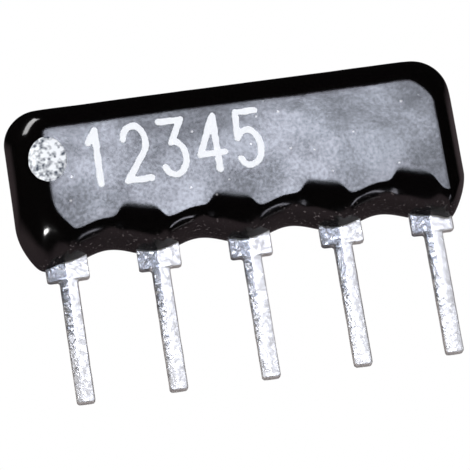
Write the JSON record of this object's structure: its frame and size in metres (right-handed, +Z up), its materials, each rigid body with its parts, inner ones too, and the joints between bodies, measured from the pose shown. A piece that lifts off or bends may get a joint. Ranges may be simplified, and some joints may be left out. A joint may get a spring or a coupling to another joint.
{
  "type": "resistor network",
  "caption": "Slim black dip-coated single-in-line resistor network with rounded edges, a wavy lower skirt, a white pin-one dot and flat tinned leads for a through-hole board.",
  "frame": {"origin": "middle of the lead row, on the seating plane under the lead shoulders", "axes": "+X along the lead row away from pin one, +Y from the marked face to the back, +Z up away from the board"},
  "size_m": [0.0126, 0.0022, 0.0084],
  "materials": {
    "epoxy": "glossy dip-coated epoxy",
    "ink": "matte printed ink",
    "alumina": "as-fired matte",
    "silver_film": "matte fired metal film",
    "resistor_film": "matte fired film",
    "overglaze": "glossy fired glass",
    "tinned_lead": "bright hot-tinned",
    "solder": "smooth reflowed"
  },
  "bodies": {
    "root": {"coating": "epoxy", "pin_one_dot": "ink", "substrate": "alumina", "bus_conductor": "silver_film", "overglaze": "overglaze", "pad_2": "silver_film", "pad_3": "silver_film", "pad_4": "silver_film", "pad_5": "silver_film", "resistor_1": "resistor_film", "resistor_2": "resistor_film", "resistor_3": "resistor_film", "resistor_4": "resistor_film", "terminal_1": "tinned_lead", "solder_1": "solder", "terminal_2": "tinned_lead", "solder_2": "solder", "terminal_3": "tinned_lead", "solder_3": "solder", "terminal_4": "tinned_lead", "solder_4": "solder", "terminal_5": "tinned_lead", "solder_5": "solder"}
  },
  "joints": []
}
